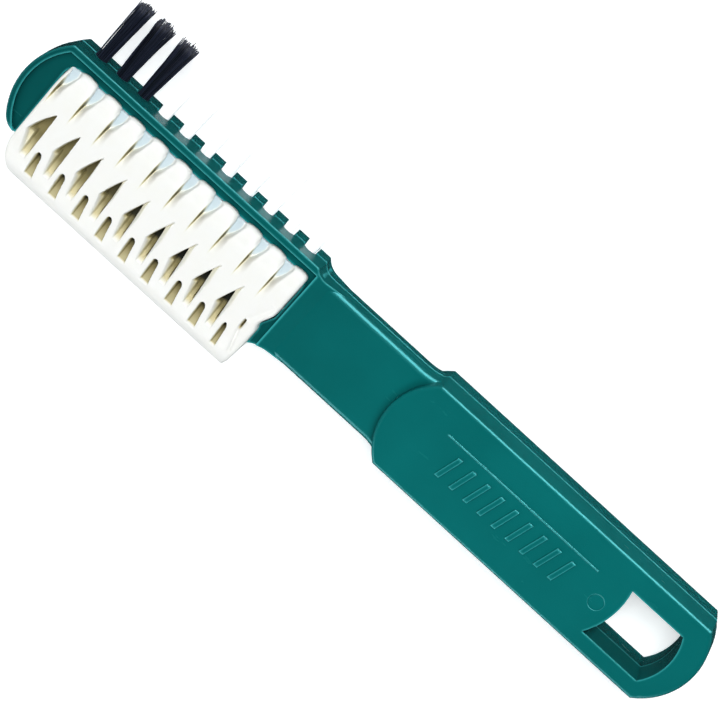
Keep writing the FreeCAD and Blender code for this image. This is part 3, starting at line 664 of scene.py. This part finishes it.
rubber_piece()
for number, (lean, spread_out) in enumerate(BLACK_TUFTS, start=1):
    tuft_piece(f"black_filaments_{number}", f"black_tuft_{number}", BLACK_SEED + number,
               BLACK_NYLON, "black_nylon", lean, spread_out)
for number in range(1, WHITE_COUNT + 1):
    tuft_piece(f"white_filaments_{number}", f"white_tuft_{number}", WHITE_SEED + number,
               WHITE_NYLON, "white_nylon", *WHITE_TUFT)
for shell in ("front_shell", "back_shell"):
    give(shell, PLASTIC)
give("bristle_strip", STRIP)
for number in range(1, len(BLACK_TUFTS) + WHITE_COUNT + 1):
    give(f"tuft_anchor_{number:02d}", STAPLE)


# ---------------------------------------------------------------- floor, light, camera

WHITE = (1.0, 1.0, 1.0)
FLOOR_REACH = 3.0
FLOOR_Z = -0.0002            # a hair under the brush
BACKDROP_RADIUS = 2.9
VIEW_TILT = math.radians(18.0)
VIEW_TURN = math.radians(42.37)
VIEW_DISTANCE = 0.6028
VIEW_CENTRE_Y = 1.98         # millimetres in the design frame
FOCAL_MM = 135.45
SENSOR_MM = 36.0


def stage_piece(name, mesh, material):
    """Something that is not part of the brush and that no gloss reflects."""
    mesh.materials.append(material)
    piece = bpy.data.objects.new(name, mesh)
    piece.visible_glossy = False
    bpy.context.scene.collection.objects.link(piece)
    return piece


def pale_floor():
    """Pale table lit partly from within, as a photographer's light table is."""
    material, _, shader = new_material("pale_floor")
    shader.inputs["Base Color"].default_value = (0.84, 0.85, 0.86, 1.0)
    shader.inputs["Roughness"].default_value = 0.9
    shader.inputs["Specular IOR Level"].default_value = 0.0
    glow(shader, WHITE, 0.47)
    mesh = bpy.data.meshes.new("floor")
    corners = [(FLOOR_REACH * side_x, FLOOR_REACH * side_y, 0)
               for side_x, side_y in ((-1, -1), (1, -1), (1, 1), (-1, 1))]
    mesh.from_pydata(corners, [], [(0, 1, 2, 3)])
    stage_piece("floor", mesh, material).location.z = FLOOR_Z


def white_backdrop():
    """White dome behind the floor. It is only seen, and neither lights nor shades."""
    material, _, shader = new_material("white_backdrop")
    shader.inputs["Base Color"].default_value = (0.0, 0.0, 0.0, 1.0)
    shader.inputs["Specular IOR Level"].default_value = 0.0
    glow(shader, WHITE, 1.0)
    shape = bmesh.new()
    bmesh.ops.create_uvsphere(shape, u_segments=48, v_segments=24, radius=BACKDROP_RADIUS)
    mesh = bpy.data.meshes.new("backdrop")
    shape.to_mesh(mesh)
    shape.free()
    dome = stage_piece("backdrop", mesh, material)
    dome.visible_diffuse = False
    dome.visible_transmission = False
    dome.visible_shadow = False


def photo_camera():
    """Camera at the photo's angle: above the brush and a little towards its bristles, and
    turned so that the brush lies across the picture."""
    back = Vector((0.0, math.sin(VIEW_TILT), math.cos(VIEW_TILT)))
    up_level = Vector((0.0, math.cos(VIEW_TILT), -math.sin(VIEW_TILT)))
    along = Vector((1.0, 0.0, 0.0))
    right = math.cos(VIEW_TURN) * along + math.sin(VIEW_TURN) * up_level
    up = -math.sin(VIEW_TURN) * along + math.cos(VIEW_TURN) * up_level
    data = bpy.data.cameras.new("photo_camera")
    data.lens = FOCAL_MM
    data.sensor_width = SENSOR_MM
    data.sensor_fit = "HORIZONTAL"
    data.clip_start = 0.01
    camera = bpy.data.objects.new("photo_camera", data)
    place = world(0.0, VIEW_CENTRE_Y, 0.0) + back * VIEW_DISTANCE
    turn = Matrix((right, up, back)).transposed()
    camera.matrix_world = Matrix.Translation(place) @ turn.to_4x4()
    bpy.context.scene.collection.objects.link(camera)
    bpy.context.scene.camera = camera


def studio_sky():
    """Pale surroundings that are bright near the horizon and dark overhead."""
    sky = bpy.data.worlds.new("studio")
    sky.use_nodes = True
    tree = sky.node_tree
    direction = tree.nodes.new("ShaderNodeTexCoord").outputs["Generated"]
    height = spread(tree, separate(tree, direction, "Z"), 0.0, 1.0, -1.0, 1.0)
    colour = ramp(tree, height, [
        (0.48, (0.015, 0.018, 0.02)), (0.52, (0.36, 0.43, 0.47)),
        (0.68, (0.28, 0.34, 0.37)), (0.88, (0.02, 0.024, 0.026))])
    background = tree.nodes["Background"]
    tree.links.new(colour, background.inputs["Color"])
    background.inputs["Strength"].default_value = 0.9
    bpy.context.scene.world = sky


def area_light(name, place, size, power, lights):
    """Soft box aimed at the brush; it lights either the surfaces or the gloss."""
    light = bpy.data.lights.new(name, "AREA")
    light.shape = "RECTANGLE"
    light.size, light.size_y = size
    light.energy = power
    lamp = bpy.data.objects.new(name, light)
    lamp.location = place
    lamp.rotation_euler = (-Vector(place)).to_track_quat("-Z", "Y").to_euler()
    lamp.visible_glossy = lights != "surfaces"
    lamp.visible_diffuse = lights != "gloss"
    bpy.context.scene.collection.objects.link(lamp)


pale_floor()
white_backdrop()
photo_camera()
studio_sky()
area_light("key", (0.02, 0.45, 1.00), (0.55, 0.55), 10.9, "surfaces")
area_light("fill", (-0.50, -0.20, 1.05), (0.8, 0.8), 2.3, "surfaces")
area_light("low_fill", (-0.15, -0.95, 0.26), (1.2, 0.4), 3.6, "surfaces")
area_light("upper_gloss", (0.10, 0.95, 0.33), (1.6, 0.8), 85.0, "gloss")
area_light("lower_gloss", (0.10, -0.95, 0.50), (1.6, 0.7), 26.0, "gloss")
bpy.context.scene.view_settings.view_transform = "Standard"
